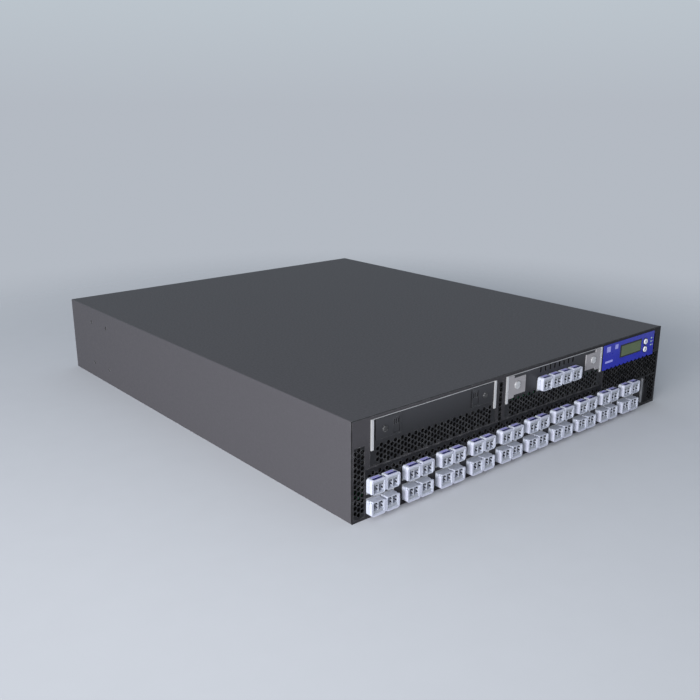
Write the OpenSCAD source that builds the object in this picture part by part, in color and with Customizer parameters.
// A 2U rack network switch: a perforated front with two rows of pluggable optical
// transceivers, two module bays, a display panel, and power supplies and fans at the rear.
// Millimetres. Panel places are given from the front's left edge (x), the front face (y,
// growing into the box) and the underside (z); panel_frame() moves them into the part's frame.

/* [Chassis] */
// Width of the box
chassis_w = 438; // [438:1:442]
// Depth from the front face to the rear face
chassis_d = 535; // [535:1:560]
// Height of the box, two rack units less clearance
chassis_h = 86; // [86:0.5:88]
// Thickness of the folded steel sheet
sheet = 1.2; // [1:0.1:1.4]
// Thickness of the front panel
panel_t = 1.5; // [1.2:0.1:1.8]

/* [Ports] */
// Ports beside each other in one cage
ports_per_cage = 2; // [2:1:2]
// Cages in each of the two rows
cage_count = 10; // [1:1:10]
// Left end of the first cage's transceivers
first_cage_x = 14.2; // [14:0.1:16]
// Distance from one cage to the next
cage_pitch = 38.9; // [38:0.1:39]
// Distance between neighbouring ports in a cage
port_pitch = 15.25; // [15.2:0.05:15.4]
// Height of the upper row's middle
upper_row_z = 29; // [29:0.1:29.2]
// Height of the lower row's middle
lower_row_z = 10.4; // [10.2:0.1:10.4]

/* [Perforation] */
// Distance between neighbouring columns of holes
hole_col_pitch = 3.7; // [3.7:0.05:4]
// Distance between neighbouring holes in a column
hole_row_pitch = 4.6; // [4.6:0.05:5]
// Radius of a hexagonal hole, to its corners
hole_r = 1.95; // [1.5:0.05:1.95]

/* [Module bays] */
// Left edge of the left bay's window
left_bay_x = 18.2; // [18.2:0.1:18.6]
// Left edge of the right bay's window
right_bay_x = 179.6; // [179.2:0.1:179.6]
// Width of a bay window
bay_w = 148.8; // [148.8:0.1:149]
// Lower edge of the bay windows
bay_z = 44.2; // [44.2:0.1:44.4]
// Upper edge of the bay windows
bay_top = 83.5; // [83.3:0.1:83.5]

/* [Rear] */
// How far the handles stand out from the rear face
handle_out = 28; // [24:1:32]
// Radius of a system fan's blades
fan_r = 29.3; // [27:0.1:29.3]
// Blades on a fan
fan_blades = 7; // [5:1:7]

/* [Hidden] */
$fn = 40;

gap = 0.2;                      // between sheets that lie beside each other
flange_y = 12;                  // rear edge of the front panel's flanges
bay_xs = [left_bay_x, right_bay_x];
wall_x = sheet + gap;           // the tray's side walls stand just inside the cover's
nose_out = 7.2;                 // how far a transceiver stands out from the front face
front_y = (nose_out - handle_out - chassis_d) / 2;
rear_skin_y = chassis_d - 2 * sheet;   // the rear panel's inner face
lip_bottom = 78;                // lower edge of the cover's rear lip
lip_end_x = 318;

// Transceiver, in its own frame: x and z from the middle of its head, y from the front face.
head_h = 12.6;                  // height of the head outside the cage
head_w = 14.95;                 // width of the head
body_w = 13.4;                  // the part inside the cage
body_h = 8.4;
body_low = -6.2;                // the body's underside
body_d = 46;
shoulder_y = -3.5;              // the full-size shoulder ends here and the nose begins
bar_d = 3.4;                    // depth of the bail's crossbar and arms
corner_r = 2.2;                 // upper corners of the head
low_corner_r = 1.6;
bail_t = 0.7;                   // thickness of the bail's arms
bail_gap = 0.4;                 // between the nose's sides and the arms
nose_w = head_w - 2 * (bail_t + bail_gap);
nose_r = corner_r - bail_t - bail_gap;
nose_top = 4.9;
rim_t = 0.7;                    // the raised rim around the nose's face
rim_d = 0.7;
pivot_y = -6;                   // the bail's pivot
pivot_z = -4.4;
pin_r = 0.6;
pin_in = 0.5;                   // how far a pin reaches into the nose
optic_w = 4.8;                  // a fibre socket
optic_h = 6.6;
optic_z = -4.9;                 // its lower edge
optic_x = 0.4;                  // from the middle to its near side
optic_depth = 7;
ferrule_r = 1.25;

// Cage around the transceivers' bodies
cell_w = 13.8;
cell_h = 8.8;
cage_t = 0.4;
cage_low = -7.6;                // the cage's underside, from the head's middle
cage_high = 2.8;
cage_d = 50;

// Places on the front
row_top_z = upper_row_z + cage_high;
board_z = upper_row_z + cage_low - 3.3;    // underside of the main board
board_t = 3.2;
board_right = 406;               // clear of the asset tag
display = [331, 57.2, 425, 83.4];          // x, z of the lower left and upper right corners
display_hole = [333, 60.5, 422.5, 81];
notch_z = display[1] + 0.1;                // the highest holes bite into the display panel's lower edge
screen = [360.6, 64.9, 401.4, 78.9];
button_x = 408;
button_zs = [74.3, 65.9];
button_r = 2.9;
light_x = 419.6;
light_zs = [76.2, 72.4, 68.6];
tag = [408.6, 4.3, 412.2, 32.3];
side_slot = [425.6, 61.8, 428.4, 79.4];
front_holes = [3, 3.9];         // middle of the lowest hole in the front's first column
module_holes = [12.2, 59.8];    // middle of a module's first hole in its top row, from its bay's side
module_col_pitch = 3.8;
divider_x = 173.2;              // the single column of holes between the bays
// Areas of the inserts without holes: below the bays, beside the divider, and beside the asset tag
plain_areas = [[12, 39.5, divider_x - 1, 43], [divider_x + 1, 39.5, 333.5, 43], [413, 0, 423.5, 26]];
// Perforated inserts that lie flush in the front panel
grilles = [
    [1.6, 2.6, 12.6, 63.6], [12.9, 33.6, 333.4, 42.9], [170.8, 43.2, 175.6, 80.4],
    [333.7, 33.6, 436.4, 59.2], [415.6, 2.6, 436.4, 33.3]
];

// Modules in the bays
face_gap = 0.3;                 // around a module's faceplate, and behind the front face
bay_depth = 172;
rail_z = 56.4;                  // underside of the card rails
card_z = 58;                    // underside of the uplink module's board
uplink_x = bay_xs[1] + 75.9;    // middle of the four-port cage
uplink_z = 67.2;                // middle of its transceivers
light_pitch = 7.11;             // between the uplink module's light pipes
screw_in = 15.4;                // from a bay's side to a captive screw
screw_z = 72.8;
plate_screw_r = 3.6;            // heads of the uplink module's screws
blank_screw_r = 2.6;
trim_z = [57.5, 83.4];          // ends of the light trim at a module's sides

// Rear
psu_x = 323;
psu_w = 94;
psu_h = 38.6;
psu_d = 200;
psu_zs = [2.6, 44.2];           // undersides of the lower and the upper power supply
psu_rear_y = chassis_d - 0.5;
fan_xs = [139, 205, 271];
fan_z = 40;
fan_window = [104, 5, 306, 75];
fan_plate = [92, 2, 318, 77.4];
fan_screw_xs = [98, 312];
earth_xs = [30, 45.88];         // two-hole earth lug, five eighths of an inch apart
earth_z = 62;
bracket_ys = [440, 480];        // rack bracket holes in both sides
bracket_zs = [18, 68];
bracket_tap_r = 1.65;           // tapped M4 in the tray
bracket_hole_r = 2.2;           // clearance for M4 in the cover

// ---------- helpers ----------

module panel_frame() translate([-chassis_w / 2, front_y, 0]) children();

// A block from its two opposite corners.
module block(x0, x1, y0, y1, z0, z1) translate([x0, y0, z0]) cube([x1 - x0, y1 - y0, z1 - z0]);

// Extrudes a drawing of x and z into a plate that fills y0 to y1.
module plate(y0, y1) translate([0, y1, 0]) rotate([90, 0, 0]) linear_extrude(y1 - y0) children();

// A rectangle from [x0, z0, x1, z1], grown by d on every side.
module area(c, d = 0) translate([c[0] - d, c[1] - d]) square([c[2] - c[0] + 2 * d, c[3] - c[1] + 2 * d]);

// The same with rounded corners.
module round_area(c, r, d = 0) {
    area([c[0] + r, c[1], c[2] - r, c[3]], d);
    area([c[0], c[1] + r, c[2], c[3] - r], d);
    for (x = [c[0] + r - d, c[2] - r + d], z = [c[1] + r - d, c[3] - r + d]) translate([x, z]) circle(r);
}

// A cylinder along y.
module rod(x, z, y0, y1, r) translate([x, y1, z]) rotate([90, 0, 0]) cylinder(h = y1 - y0, r = r);

// A cylinder along x.
module cross_rod(x0, x1, y, z, r) translate([x0, y, z]) rotate([0, 90, 0]) cylinder(h = x1 - x0, r = r);

function mirror_x(x, middle) = 2 * middle - x;
function away(x, z, c, d) = x < c[0] - d || x > c[2] + d || z < c[1] - d || z > c[3] + d;
function clear_of(x, z, areas, d) = len([for (c = areas) if (!away(x, z, c, d)) c]) == 0;

// Staggered hexagonal holes whose middles lie in one area and clear of the others.
module hex_field(field, keep_out, margin, from = front_holes, pitch = hole_col_pitch) {
    columns = [ceil((field[0] - from[0]) / pitch) : floor((field[2] - from[0]) / pitch)];
    low = floor((field[1] - from[1]) / hole_row_pitch) - 1;
    high = ceil((field[3] - from[1]) / hole_row_pitch);
    for (i = columns, j = [low : high]) {
        x = from[0] + i * pitch;
        z = from[1] + (j + abs(i % 2) / 2) * hole_row_pitch;
        free = !away(x, z, field, 0) && clear_of(x, z, keep_out, margin);
        if (free) translate([x, z]) circle(hole_r, $fn = 6);
    }
}

// ---------- transceivers and cages ----------

// Outline of a head, seen from the front: two rounded areas that overlap, since the upper corners
// are rounder than the lower ones.
module head_area(w, top, r, low_r) {
    round_area([-w / 2, body_low, w / 2, low_r + 0.2], low_r);
    round_area([-w / 2, -r, w / 2, top], r);
}

module transceiver() {
    difference() {
        union() {
            block(-body_w / 2, body_w / 2, -0.3, body_d, body_low, body_low + body_h);
            plate(shoulder_y, -0.3) head_area(head_w, head_h + body_low, corner_r, low_corner_r);
            plate(-nose_out, shoulder_y) head_area(nose_w, nose_top, nose_r, nose_r);
        }
        plate(-nose_out - 1, -nose_out + rim_d)
            area([-nose_w / 2 + rim_t, body_low + rim_t, nose_w / 2 - rim_t, nose_top - rim_t]);
        for (s = [-1, 1]) {
            x0 = s > 0 ? optic_x : -optic_x - optic_w;
            block(x0, x0 + optic_w, -nose_out - 1, optic_depth - nose_out, optic_z, optic_z + optic_h);
            inner = s * (nose_w / 2 - pin_in - 0.1);
            cross_rod(min(inner, s * nose_w), max(inner, s * nose_w), pivot_y, pivot_z, pin_r + 0.1);
        }
    }
    for (s = [-1, 1])
        rod(s * (optic_x + optic_w / 2), optic_z + optic_h / 2, -1.4, optic_depth - nose_out, ferrule_r);
}

// The bail: two arms that pivot on the nose and a crossbar over it.
module bail() {
    low = pivot_z - 2 * corner_r;
    inner_x = head_w / 2 - bail_t;
    difference() {
        plate(-nose_out, -nose_out + bar_d)
            round_area([-head_w / 2, low, head_w / 2, head_h + body_low], corner_r);
        plate(-nose_out - 1, -nose_out + bar_d + 1)
            round_area([-inner_x, low - 3, inner_x, nose_top + 0.25], corner_r - bail_t);
        block(-head_w, head_w, -nose_out - 1, -nose_out + bar_d + 1, low - 3, pivot_z);
    }
    for (s = [-1, 1]) {
        arm = [s * (head_w / 2 - bail_t), s * head_w / 2];
        pin = [s * (nose_w / 2 - pin_in), s * head_w / 2];
        cross_rod(min(arm), max(arm), pivot_y, pivot_z, 1.2);
        cross_rod(min(pin), max(pin), pivot_y, pivot_z, pin_r);
    }
}

// A sheet-metal cage of n ports beside each other.
module cage(n, back) {
    span = (n - 1) * port_pitch;
    half = (span + cell_w) / 2 + cage_t;
    difference() {
        block(-half, half, 0, cage_d, cage_low, cage_high);
        for (i = [0 : n - 1]) {
            x = i * port_pitch - span / 2;
            block(x - cell_w / 2, x + cell_w / 2, -1, back, cage_high - cage_t - cell_h, cage_high - cage_t);
        }
    }
}

function cage_x(i) = first_cage_x + i * cage_pitch + port_pitch;
function port_xs(middle, n) = [for (k = [0 : n - 1]) middle + (k - (n - 1) / 2) * port_pitch];
function cage_window(middle, z, n, flip) =
    let (half = (n - 1) * port_pitch / 2 + cell_w / 2 + cage_t,
         low = flip ? z - cage_high : z + cage_low,
         high = flip ? z - cage_low : z + cage_high)
    [middle - half, low, middle + half, high];

// Repeats a transceiver piece at every port of a row. A flipped row hangs upside down.
module at_row(z, flip) {
    for (i = [0 : cage_count - 1], x = port_xs(cage_x(i), ports_per_cage))
        translate([x, 0, z]) rotate([0, flip ? 180 : 0, 0]) children();
}

module row_cages(z, flip)
    for (i = [0 : cage_count - 1])
        translate([cage_x(i), 0, z]) rotate([0, flip ? 180 : 0, 0]) cage(ports_per_cage, cage_d - cage_t);

module upper_port_cages() color("silver") panel_frame() row_cages(upper_row_z, false);
module lower_port_cages() color("silver") panel_frame() row_cages(lower_row_z, true);
module upper_transceivers() color("gainsboro") panel_frame() at_row(upper_row_z, false) transceiver();
module lower_transceivers() color("gainsboro") panel_frame() at_row(lower_row_z, true) transceiver();
module upper_bails() color("midnightblue") panel_frame() at_row(upper_row_z, false) bail();
module lower_bails() color("midnightblue") panel_frame() at_row(lower_row_z, true) bail();

// ---------- chassis ----------

module chassis_tray() color("dimgray") panel_frame()
    difference() {
        union() {
            block(wall_x, chassis_w - wall_x, panel_t, chassis_d, 0, sheet);
            for (x = [wall_x, chassis_w - wall_x - sheet])
                block(x, x + sheet, 6, rear_skin_y + sheet - gap, 0, 84);
            block(tag[0] - 1.4, tag[2] + 1.4, flange_y + gap, 80, sheet, tag[3] + 0.7);
        }
        block(tag[0] + 0.6, tag[2] - 0.6, 3, 78, tag[1] + 0.9, tag[3] - 0.9);
        for (y = bracket_ys, z = bracket_zs) cross_rod(0, chassis_w, y, z, bracket_tap_r);
    }

// Profile of the wrap-around cover, with bends at its upper edges.
module cover_profile() {
    difference() {
        union() {
            square([chassis_w, chassis_h - 1]);
            translate([1, 0]) square([chassis_w - 2, chassis_h]);
            for (x = [1, chassis_w - 1]) translate([x, chassis_h - 1]) circle(1);
        }
        translate([sheet, -1]) square([chassis_w - 2 * sheet, chassis_h - sheet + 1]);
    }
}

cover_screw_xs = [14, 100, 186, 272, 306];
cover_screw_z = 81.4;

module outer_cover() color("#4a4a50") panel_frame()
    difference() {
        union() {
            plate(panel_t, chassis_d) cover_profile();
            block(sheet, lip_end_x, chassis_d - sheet, chassis_d, lip_bottom, chassis_h - sheet);
        }
        for (x = cover_screw_xs) rod(x, cover_screw_z, chassis_d - 4, chassis_d + 1, 1.6);
        for (y = bracket_ys, z = bracket_zs) cross_rod(-1, chassis_w + 1, y, z, bracket_hole_r);
    }

module cover_screws() color("silver") panel_frame()
    for (x = cover_screw_xs) {
        difference() {
            rod(x, cover_screw_z, chassis_d, chassis_d + 1.6, 2.8);
            translate([x, chassis_d + 1.2, cover_screw_z])
                for (a = [0, 90]) rotate([0, a, 0]) cube([3.4, 1, 0.8], center = true);
        }
        rod(x, cover_screw_z, chassis_d - 5, chassis_d, 1.5);
    }

row_windows = [for (i = [0 : cage_count - 1], flip = [false, true])
    cage_window(cage_x(i), flip ? lower_row_z : upper_row_z, ports_per_cage, flip)];
bay_windows = [for (x = bay_xs) [x, bay_z, x + bay_w, bay_top]];
grille_gap = 0.05;

module front_panel() color("#3c3c40") panel_frame() {
    plate(0, panel_t) difference() {
        square([chassis_w, chassis_h]);
        for (c = row_windows) area(c, 0.15);
        for (c = concat(bay_windows, grilles, [display_hole, tag, side_slot])) area(c);
    }
    for (z = [sheet, 83.6]) block(6, chassis_w - 6, panel_t, flange_y, z, z + 1);
}

// Holes in an insert stay this far inside its edges.
function inside(c) = [c[0] + 1.4, c[1] + 1.3, c[2] - 1.4, c[3] - 1.3];

module front_grilles() color("#3c3c40") panel_frame() {
    for (c = grilles) plate(0, panel_t) difference() {
        area(c, -grille_gap);
        hex_field(inside(c), plain_areas, 0);
    }
}

module rear_panel() color("silver") panel_frame()
    difference() {
        union() {
            plate(rear_skin_y, rear_skin_y + sheet) difference() {
                area([wall_x + sheet + gap, sheet, chassis_w - wall_x - sheet - gap, 84.6]);
                area(fan_window);
                for (z = psu_zs) area([psu_x, z, psu_x + psu_w, z + psu_h], 0.5);
                for (x = [18, 38]) area([x, 24, x + 16, 37.5], 0.2);
                area([60, 27, 73.2, 32.7], 0.2);
                hex_field([8, 44, 90, 56], [], 0);
            }
            for (x = earth_xs) rod(x, earth_z, rear_skin_y - 4, rear_skin_y + sheet, 4);
        }
        for (x = cover_screw_xs) rod(x, cover_screw_z, rear_skin_y - 1, rear_skin_y + 2, 1.55);
        for (x = fan_screw_xs) rod(x, fan_z, rear_skin_y - 1, rear_skin_y + 2, 1.6);
        for (x = earth_xs) rod(x, earth_z, rear_skin_y - 5, rear_skin_y + 2, 2.1);
    }

module management_ports() color("gray") panel_frame()
    for (c = [[18, 24, 34, 37.5], [38, 24, 54, 37.5], [60, 27, 73.2, 32.7]]) {
        network = c[3] - c[1] > 8;
        socket = network
            ? [c[0] + 2.1, c[1] + 2.4, c[2] - 2.1, c[3] - 3]
            : [c[0] + 0.5, c[1] + 0.5, c[2] - 0.5, c[3] - 0.5];
        difference() {
            plate(chassis_d - 17, chassis_d) area(c);
            plate(chassis_d - 15, chassis_d + 1) area(socket);
        }
    }

// Shelf, walls, card rails and screw tabs of the two module bays.
module module_bay_frame() color("gray") panel_frame() {
    shelf_z = bay_z - 2.2;
    difference() {
        union() {
            block(bay_xs[0] - 2.4, bay_xs[1] + bay_w + 2.4, 3, bay_depth + 1.8, shelf_z, shelf_z + sheet);
            for (x = bay_xs) {
                for (wall = [x - 2.4, x + bay_w + sheet])
                    block(wall, wall + sheet, 3, bay_depth + 1.8, shelf_z, 83.4);
                for (rail = [x - 1.3, x + bay_w - 2.9])
                    block(rail, rail + 4.2, 9, bay_depth, rail_z, card_z - 0.2);
                for (tab = [x - 1.3, x + bay_w - screw_in - 5])
                    block(tab, tab + screw_in + 6.3, 9, 11, 68, 78);
            }
        }
        for (x = bay_xs, s = [x + screw_in, x + bay_w - screw_in]) rod(s, screw_z, 8, 12, 1.6);
    }
}

module psu_bay_frame() color("gray") panel_frame() {
    for (x = [psu_x - 3.2, psu_x + psu_w + 2])
        block(x, x + sheet, psu_rear_y - psu_d - 3, rear_skin_y, sheet, 83.6);
    block(psu_x - 2, psu_x + psu_w + 2, psu_rear_y - psu_d - 3, rear_skin_y, 42.2, 43.4);
}

// ---------- electronics inside ----------

standoffs = [for (x = [24, 207, 390], y = [70, 190, 310]) [x, y]];

module main_board() color("darkgreen") panel_frame()
    difference() {
        block(8, board_right, 3, 320, board_z, board_z + board_t);
        for (p = standoffs) translate([p[0], p[1], board_z - 1]) cylinder(h = board_t + 2, r = 1.8);
    }

module board_standoffs() color("gold") panel_frame()
    for (p = standoffs) translate([p[0], p[1], 0]) {
        translate([0, 0, sheet]) cylinder(h = board_z - sheet, r = 3.2, $fn = 6);
        translate([0, 0, board_z]) cylinder(h = board_t, r = 1.5);
        translate([0, 0, board_z + board_t]) cylinder(h = 1.8, r = 3);
    }

chip_xs = [120, 219, 318];
chip_y = 245;
chip_size = 45;
chip_t = 3;

module switch_chips() color("#222222") panel_frame() {
    top = board_z + board_t;
    half = chip_size / 2;
    for (x = chip_xs) block(x - half, x + half, chip_y - half, chip_y + half, top, top + chip_t);
    for (x = [60, 90, 150, 180, 258, 288, 350, 380]) block(x - 5, x + 5, 130, 144, top, top + 1.2);
}

module heat_sinks() color("silver") panel_frame()
    for (x = chip_xs) {
        low = board_z + board_t + chip_t;
        block(x - 34, x + 34, chip_y - 34, chip_y + 34, low, low + 4);
        for (i = [0 : 11]) block(x - 34 + i * 6, x - 32 + i * 6, chip_y - 34, chip_y + 34, low + 4, low + 32);
    }

module midplane() color("darkgreen") panel_frame() {
    difference() {
        block(bay_xs[0] - 2, bay_xs[1] + bay_w + 2, bay_depth + 2, bay_depth + 4.4, board_z + board_t, 82);
        for (x = [40, 90, 200, 250]) block(x, x + 40, bay_depth + 1, bay_depth + 5, 68, 78);
        for (x = [60, 150, 240]) block(x, x + 50, bay_depth + 1, bay_depth + 5, 28, 38);
    }
    for (x = bay_xs) block(x + 50, x + 99, bay_depth - 3.7, bay_depth + 2, card_z + 1.6, card_z + 9);
}

// ---------- display panel ----------

module display_bezel() color("#2d2fb0") panel_frame()
    difference() {
        union() {
            plate(-0.5, 0) round_area(display, 1);
            plate(0, 4) area(display_hole, -gap);
        }
        plate(-3, 5) area(screen);
        for (z = button_zs) rod(button_x, z, -3, 5, button_r + 0.25);
        for (z = light_zs) rod(light_x, z, -3, 5, 0.95);
        plate(-3, 1) hex_field([display[0] + 4, notch_z - 2, display[2] - 4, notch_z], [], 0);
    }

module display_screen() color("olivedrab") panel_frame() plate(-0.3, 3) area(screen, -0.1);

module display_board() color("darkgreen") panel_frame() {
    block(display_hole[0] + 2, display_hole[2] - 2, 6, 7.6, display_hole[1] + 1, display_hole[3] - 1);
    plate(3, 6) area(screen, -1);
}

module status_lights() color("palegreen") panel_frame()
    for (z = light_zs) rod(light_x, z, -0.7, 6, 0.85);

module menu_key(z) {
    rod(button_x, z, -1.5, 3, button_r);
    rod(button_x, z, 3, 4.8, 1.2);
}

module menu_button() color("lavender") panel_frame() menu_key(button_zs[0]);
module enter_button() color("lavender") panel_frame() menu_key(button_zs[1]);

module asset_tag() color("lightgray") panel_frame() {
    plate(-0.8, 0.9) round_area(tag, 1, -0.3);
    block(tag[0] + 0.9, tag[2] - 0.9, 0.9, 76, tag[1] + 1.2, tag[3] - 1.2);
}

// ---------- modules in the bays ----------

function module_face(x) = [x + face_gap, bay_z + face_gap, x + bay_w - face_gap, bay_top - face_gap];

// Faceplate common to both modules: plain above, perforated below, with screw holes.
module module_plate(x, keep_out) {
    difference() {
        area(module_face(x));
        hex_field([x + 6.5, bay_z + 1.8, x + bay_w - 6.5, 60.5], keep_out, 2.2,
            [x + module_holes[0], module_holes[1]], module_col_pitch);
        for (s = [x + screw_in, x + bay_w - screw_in]) translate([s, screw_z]) circle(1.9);
    }
}

// Light trim around a module's face: a strip at each side, joined by a thin line along the top.
module face_trim(x) {
    block(x + 0.6, x + bay_w - 0.6, -0.4, face_gap, trim_z[1] - 0.5, trim_z[1]);
    for (s = [x + 1.9, x + bay_w - 1.9]) block(s - 1.3, s + 1.3, -0.8, face_gap, trim_z[0], trim_z[1]);
}

// A captive screw with a slotted head of radius r that stands out from the face.
module captive_screw(x, out, r) {
    difference() {
        rod(x, screw_z, -out, face_gap, r);
        translate([x, -out, screw_z]) cube([2 * r + 1, 1, 1], center = true);
    }
    rod(x, screw_z, face_gap, 14, 1.5);
}

uplink_window = cage_window(uplink_x, uplink_z, 4, false);
light_xs = [for (i = [0 : 7]) uplink_x - 3.5 * light_pitch + i * light_pitch - 0.7];
light_area = [77.2, 82.4];      // lower and upper ends of a light pipe

module uplink_faceplate() color("#3c3c40") panel_frame()
    plate(face_gap, face_gap + panel_t) difference() {
        module_plate(bay_xs[1], [uplink_window]);
        area(uplink_window, 0.15);
        for (x = light_xs) area([x - 1, light_area[0], x + 1, light_area[1]]);
    }

module uplink_face_trim() color("silver") panel_frame() face_trim(bay_xs[1]);

// Light plates around the screws, each with a lobe above and below its inner part.
module uplink_screw_plates() color("#a5a5aa") panel_frame() {
    x = bay_xs[1];
    middle = x + bay_w / 2;
    for (s = [0, 1]) translate([s * 2 * middle, 0, 0]) mirror([s, 0, 0]) difference() {
        union() {
            plate(-0.6, face_gap) area([x + 3.3, 64, x + 27.4, 80]);
            plate(-0.6, face_gap) round_area([x + 3.3, 61.6, x + 11.4, 82.7], 1.2);
        }
        rod(x + screw_in, screw_z, -2, 1, plate_screw_r + 0.3);
    }
}

module uplink_board() color("darkgreen") panel_frame() {
    block(bay_xs[1] + 2, bay_xs[1] + bay_w - 2, face_gap + panel_t, bay_depth - 8, card_z, card_z + 1.6);
    block(bay_xs[1] + 50, bay_xs[1] + 99, bay_depth - 20, bay_depth - 4, card_z + 1.6, card_z + 9);
    for (x = [bay_xs[1] + 30, bay_xs[1] + 100]) block(x, x + 18, 80, 98, card_z + 1.6, card_z + 4);
}

module uplink_cage() color("silver") panel_frame()
    translate([uplink_x, 0, uplink_z]) cage(4, cage_d - cage_t);

module uplink_light_pipes() color("#111111") panel_frame()
    for (x = light_xs) block(x - 0.85, x + 0.85, 1.1, 20, light_area[0] + 0.15, light_area[1] - 0.15);

module uplink_screw_left() color("silver") panel_frame()
    captive_screw(bay_xs[1] + screw_in, 1.6, plate_screw_r);
module uplink_screw_right() color("silver") panel_frame()
    captive_screw(bay_xs[1] + bay_w - screw_in, 1.6, plate_screw_r);

module uplink_transceiver(k) color("gainsboro") panel_frame()
    translate([port_xs(uplink_x, 4)[k - 1], 0, uplink_z]) transceiver();
module uplink_bail(k) color("midnightblue") panel_frame()
    translate([port_xs(uplink_x, 4)[k - 1], 0, uplink_z]) bail();

// A faceplate with a raised pad at each end, a sunk band with three slots in each pad, and folded sides.
module blank_faceplate() color("#3c3c40") panel_frame() {
    x = bay_xs[0];
    c = module_face(x);
    difference() {
        union() {
            plate(face_gap, face_gap + panel_t) module_plate(x, []);
            for (s = [0, 1]) translate([s * (2 * x + bay_w), 0, 0]) mirror([s, 0, 0]) difference() {
                plate(-0.5, face_gap) area([x + 5.4, 65, x + 32.6, 82.4]);
                plate(-1, -0.1) area([x + 24, 66.6, x + 31.2, 79.6]);
            }
            for (side = [c[0] + 0.2, c[2] - 1.4])
                block(side, side + sheet, face_gap + panel_t, 8, c[1] + 1, c[3] - 1);
        }
        for (s = [x + screw_in, x + bay_w - screw_in]) {
            rod(s, screw_z, -2, 3, 1.9);
            rod(s, screw_z, -2, face_gap, blank_screw_r + 0.3);
        }
        for (s = [0, 1]) translate([s * (2 * x + bay_w), 0, 0]) mirror([s, 0, 0])
            for (i = [0 : 2]) block(x + 25 + i * 2.3, x + 25.8 + i * 2.3, -2, 3, 73.4, 78);
    }
}

module blank_face_trim() color("silver") panel_frame() face_trim(bay_xs[0]);

module blank_screws() color("#2e2e30") panel_frame()
    for (s = [bay_xs[0] + screw_in, bay_xs[0] + bay_w - screw_in]) captive_screw(s, 1.1, blank_screw_r);

// ---------- rear ----------

// A D handle of bent wire on two posts along z.
module d_handle(x, y, z0, z1, out, r) {
    bend = 5;
    for (z = [z0, z1]) rod(x, z, y, y + out - bend - r, r);
    translate([x, y + out - r, z0 + bend]) cylinder(h = z1 - z0 - 2 * bend, r = r);
    for (s = [0, 1]) translate([x, y + out - bend - r, s ? z1 - bend : z0 + bend])
        rotate([s ? 0 : -90, 0, 0]) rotate([90, 0, 90])
            rotate_extrude(angle = 90) translate([bend, 0]) circle(r);
}

// A fan's guard: rings and spokes across a round opening.
module guard(r, rings) {
    for (i = [1 : rings]) difference() {
        circle(r * i / (rings + 0.5) + 0.6);
        circle(r * i / (rings + 0.5) - 0.6);
    }
    for (a = [45, 135]) rotate(a) square([2 * r + 1, 1.6], center = true);
}

// A fan's rotor about the y axis: a hub, flat pitched blades and a shaft.
module rotor(r, hub, depth, shaft_r, shaft) {
    rotate([-90, 0, 0]) {
        cylinder(h = depth, r = hub);
        intersection() {
            difference() {
                cylinder(h = depth, r = r);
                translate([0, 0, -1]) cylinder(h = depth + 2, r = hub - 0.5);
            }
            for (a = [0 : fan_blades - 1]) rotate(a * 360 / fan_blades) translate([r / 2, 0, depth / 2])
                rotate([48, 0, 0]) cube([r + 2, 1.2, depth * 1.2], center = true);
        }
        translate([0, 0, -shaft]) cylinder(h = shaft, r = shaft_r);
    }
}

fan_front_y = chassis_d - 40;   // the housing's inner face
fan_face_y = chassis_d - sheet; // the fan tray's plate lies on the rear panel

module fan_tray_frame() color("#303032") panel_frame()
    difference() {
        union() {
            plate(fan_front_y, fan_face_y) area(fan_window, -0.5);
            plate(fan_face_y, fan_face_y + 1.5) area(fan_plate);
        }
        for (x = fan_xs) {
            rod(x, fan_z, fan_front_y + 6, fan_face_y, fan_r + 1.2);
            plate(fan_face_y - 0.1, fan_face_y + 2) translate([x, fan_z]) difference() {
                circle(fan_r + 1.2);
                guard(fan_r + 1.2, 5);
            }
            plate(fan_front_y - 1, fan_front_y + 6.1) translate([x, fan_z]) difference() {
                circle(fan_r + 1.2);
                circle(12);
                for (a = [90, 210, 330]) rotate(a) translate([0, -2]) square([fan_r + 3, 4]);
            }
            rod(x, fan_z, fan_front_y - 1, fan_front_y + 7, 1.6);
        }
        for (x = fan_screw_xs) rod(x, fan_z, fan_face_y - 1, fan_face_y + 2, 1.8);
    }

module fan_rotor(x) color("#1e1e20") panel_frame()
    translate([x, fan_front_y + 8, fan_z]) rotor(fan_r, 11, 22, 1.5, 7);

module fan_tray_screws() color("silver") panel_frame()
    for (x = fan_screw_xs) {
        difference() {
            rod(x, fan_z, fan_face_y + 1.5, fan_face_y + 9, 4.2);
            translate([x, fan_face_y + 9, fan_z]) cube([10, 2, 1.1], center = true);
        }
        rod(x, fan_z, fan_face_y - 8, fan_face_y + 1.5, 1.5);
    }

module fan_tray_handle() color("silver") panel_frame() {
    x = (fan_xs[0] + fan_xs[1]) / 2;
    d_handle(x, fan_face_y + 1.5, 22, 58, 24, 2.4);
}

psu_fan_x = psu_x + 20;
psu_fan_r = 14;
psu_inlet_x = psu_x + 55;
psu_handle_x = psu_x + 76;
psu_lever_x = psu_x + 85;
lever_y = psu_rear_y - 8;       // the release lever's pivot
lever_pin_r = 1;

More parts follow.
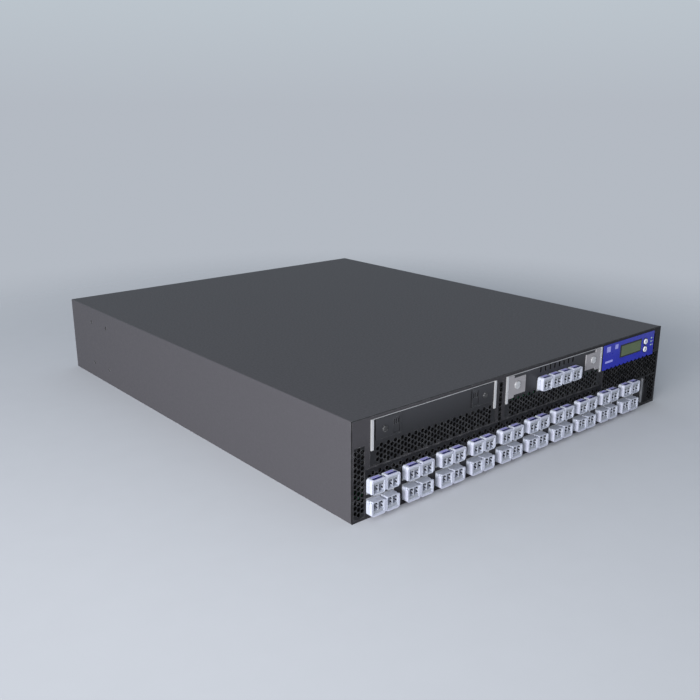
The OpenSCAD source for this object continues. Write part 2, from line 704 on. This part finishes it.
// A power supply's hollow case with its fan guard, fan bracket and D handle.
module psu_case(z) color("silver") panel_frame() {
    y0 = psu_rear_y - psu_d;
    mid = z + psu_h / 2;
    difference() {
        block(psu_x, psu_x + psu_w, y0, psu_rear_y, z, z + psu_h);
        block(psu_x + 1, psu_x + psu_w - 1, y0 + 1, psu_rear_y - sheet, z + 1, z + psu_h - 1);
        plate(psu_rear_y - 2, psu_rear_y + 1) translate([psu_fan_x, mid]) difference() {
            circle(psu_fan_r + 1);
            guard(psu_fan_r + 1, 3);
        }
        plate(psu_rear_y - 2, psu_rear_y + 1)
            area([psu_inlet_x - 13.5, mid - 10, psu_inlet_x + 13.5, mid + 10], 0.1);
        plate(psu_rear_y - 2, psu_rear_y + 1)
            area([psu_lever_x - 3.4, mid - 7.5, psu_lever_x + 3.8, mid + 7.5]);
        plate(y0 - 1, y0 + 2) hex_field([psu_x + 5, z + 6, psu_x + 50, z + psu_h - 6], [], 0);
    }
    difference() {
        block(psu_fan_x - 4, psu_fan_x + 4, psu_rear_y - 18, psu_rear_y - 15, z + 1, z + psu_h - 1);
        rod(psu_fan_x, mid, psu_rear_y - 19, psu_rear_y - 14, 1.1);
    }
    difference() {
        for (low = [mid - 10, mid + 7.3])
            block(psu_lever_x - 3, psu_lever_x + 3, lever_y - 3, psu_rear_y - sheet, low, low + 2.7);
        translate([psu_lever_x, lever_y, z]) cylinder(h = psu_h, r = lever_pin_r + 0.06);
    }
    d_handle(psu_handle_x, psu_rear_y, mid - 14, mid + 14, handle_out + 0.5, 2);
}

module psu_fan(z) color("#1e1e20") panel_frame()
    translate([psu_fan_x, psu_rear_y - 13, z + psu_h / 2]) rotor(psu_fan_r, 5, 9, 1, 4.5);

// Mains inlet: a socket with two cut corners and three flat pins.
module psu_inlet(z) color("#1a1a1c") panel_frame() {
    mid = z + psu_h / 2;
    difference() {
        union() {
            plate(psu_rear_y - 20, psu_rear_y)
                area([psu_inlet_x - 13.5, mid - 10, psu_inlet_x + 13.5, mid + 10]);
            plate(psu_rear_y, psu_rear_y + 1.4)
                round_area([psu_inlet_x - 14.6, mid - 11.2, psu_inlet_x + 14.6, mid + 11.2], 2);
        }
        plate(psu_rear_y - 16, psu_rear_y + 3) translate([psu_inlet_x, mid])
            polygon([[-12, -8], [12, -8], [12, 3.5], [7.5, 8], [-7.5, 8], [-12, 3.5]]);
    }
    for (p = [[-7, -2], [0, 2.2], [7, -2]])
        block(psu_inlet_x + p[0] - 1, psu_inlet_x + p[0] + 1, psu_rear_y - 16, psu_rear_y - 4,
            mid + p[1] - 2, mid + p[1] + 2);
}

module psu_lever(z) color("#2a62b8") panel_frame() {
    mid = z + psu_h / 2;
    block(psu_lever_x - 1, psu_lever_x + 1, lever_y, psu_rear_y + 14, mid - 7, mid + 7);
    block(psu_lever_x - 1, psu_lever_x + 3.4, psu_rear_y + 12, psu_rear_y + 14, mid - 7, mid + 7);
    translate([psu_lever_x, lever_y, mid - 7]) cylinder(h = 14, r = 2);
    translate([psu_lever_x, lever_y, mid - 9.5]) cylinder(h = 19, r = lever_pin_r);
}

// ---------- the nodes ----------

chassis_tray();
outer_cover();
front_panel();
front_grilles();
rear_panel();
module_bay_frame();
psu_bay_frame();
cover_screws();
upper_port_cages();
lower_port_cages();
main_board();
board_standoffs();
switch_chips();
heat_sinks();
midplane();
display_bezel();
display_screen();
display_board();
status_lights();
menu_button();
enter_button();
asset_tag();
management_ports();
uplink_faceplate();
uplink_face_trim();
uplink_screw_plates();
uplink_board();
uplink_cage();
uplink_light_pipes();
uplink_screw_left();
uplink_screw_right();
uplink_transceiver(1);  // transceiver_1
uplink_transceiver(2);  // transceiver_2
uplink_transceiver(3);  // transceiver_3
uplink_transceiver(4);  // transceiver_4
uplink_bail(1);  // transceiver_bail_1
uplink_bail(2);  // transceiver_bail_2
uplink_bail(3);  // transceiver_bail_3
uplink_bail(4);  // transceiver_bail_4
blank_faceplate();
blank_face_trim();
blank_screws();
upper_transceivers();
upper_bails();
lower_transceivers();
lower_bails();
psu_case(psu_zs[1]);  // psu_upper_case
psu_lever(psu_zs[1]);  // psu_upper_lever
psu_fan(psu_zs[1]);  // psu_upper_fan
psu_inlet(psu_zs[1]);  // psu_upper_inlet
psu_case(psu_zs[0]);  // psu_lower_case
psu_lever(psu_zs[0]);  // psu_lower_lever
psu_fan(psu_zs[0]);  // psu_lower_fan
psu_inlet(psu_zs[0]);  // psu_lower_inlet
fan_tray_frame();
fan_rotor(fan_xs[0]);  // fan_rotor_1
fan_rotor(fan_xs[1]);  // fan_rotor_2
fan_rotor(fan_xs[2]);  // fan_rotor_3
fan_tray_screws();
fan_tray_handle();
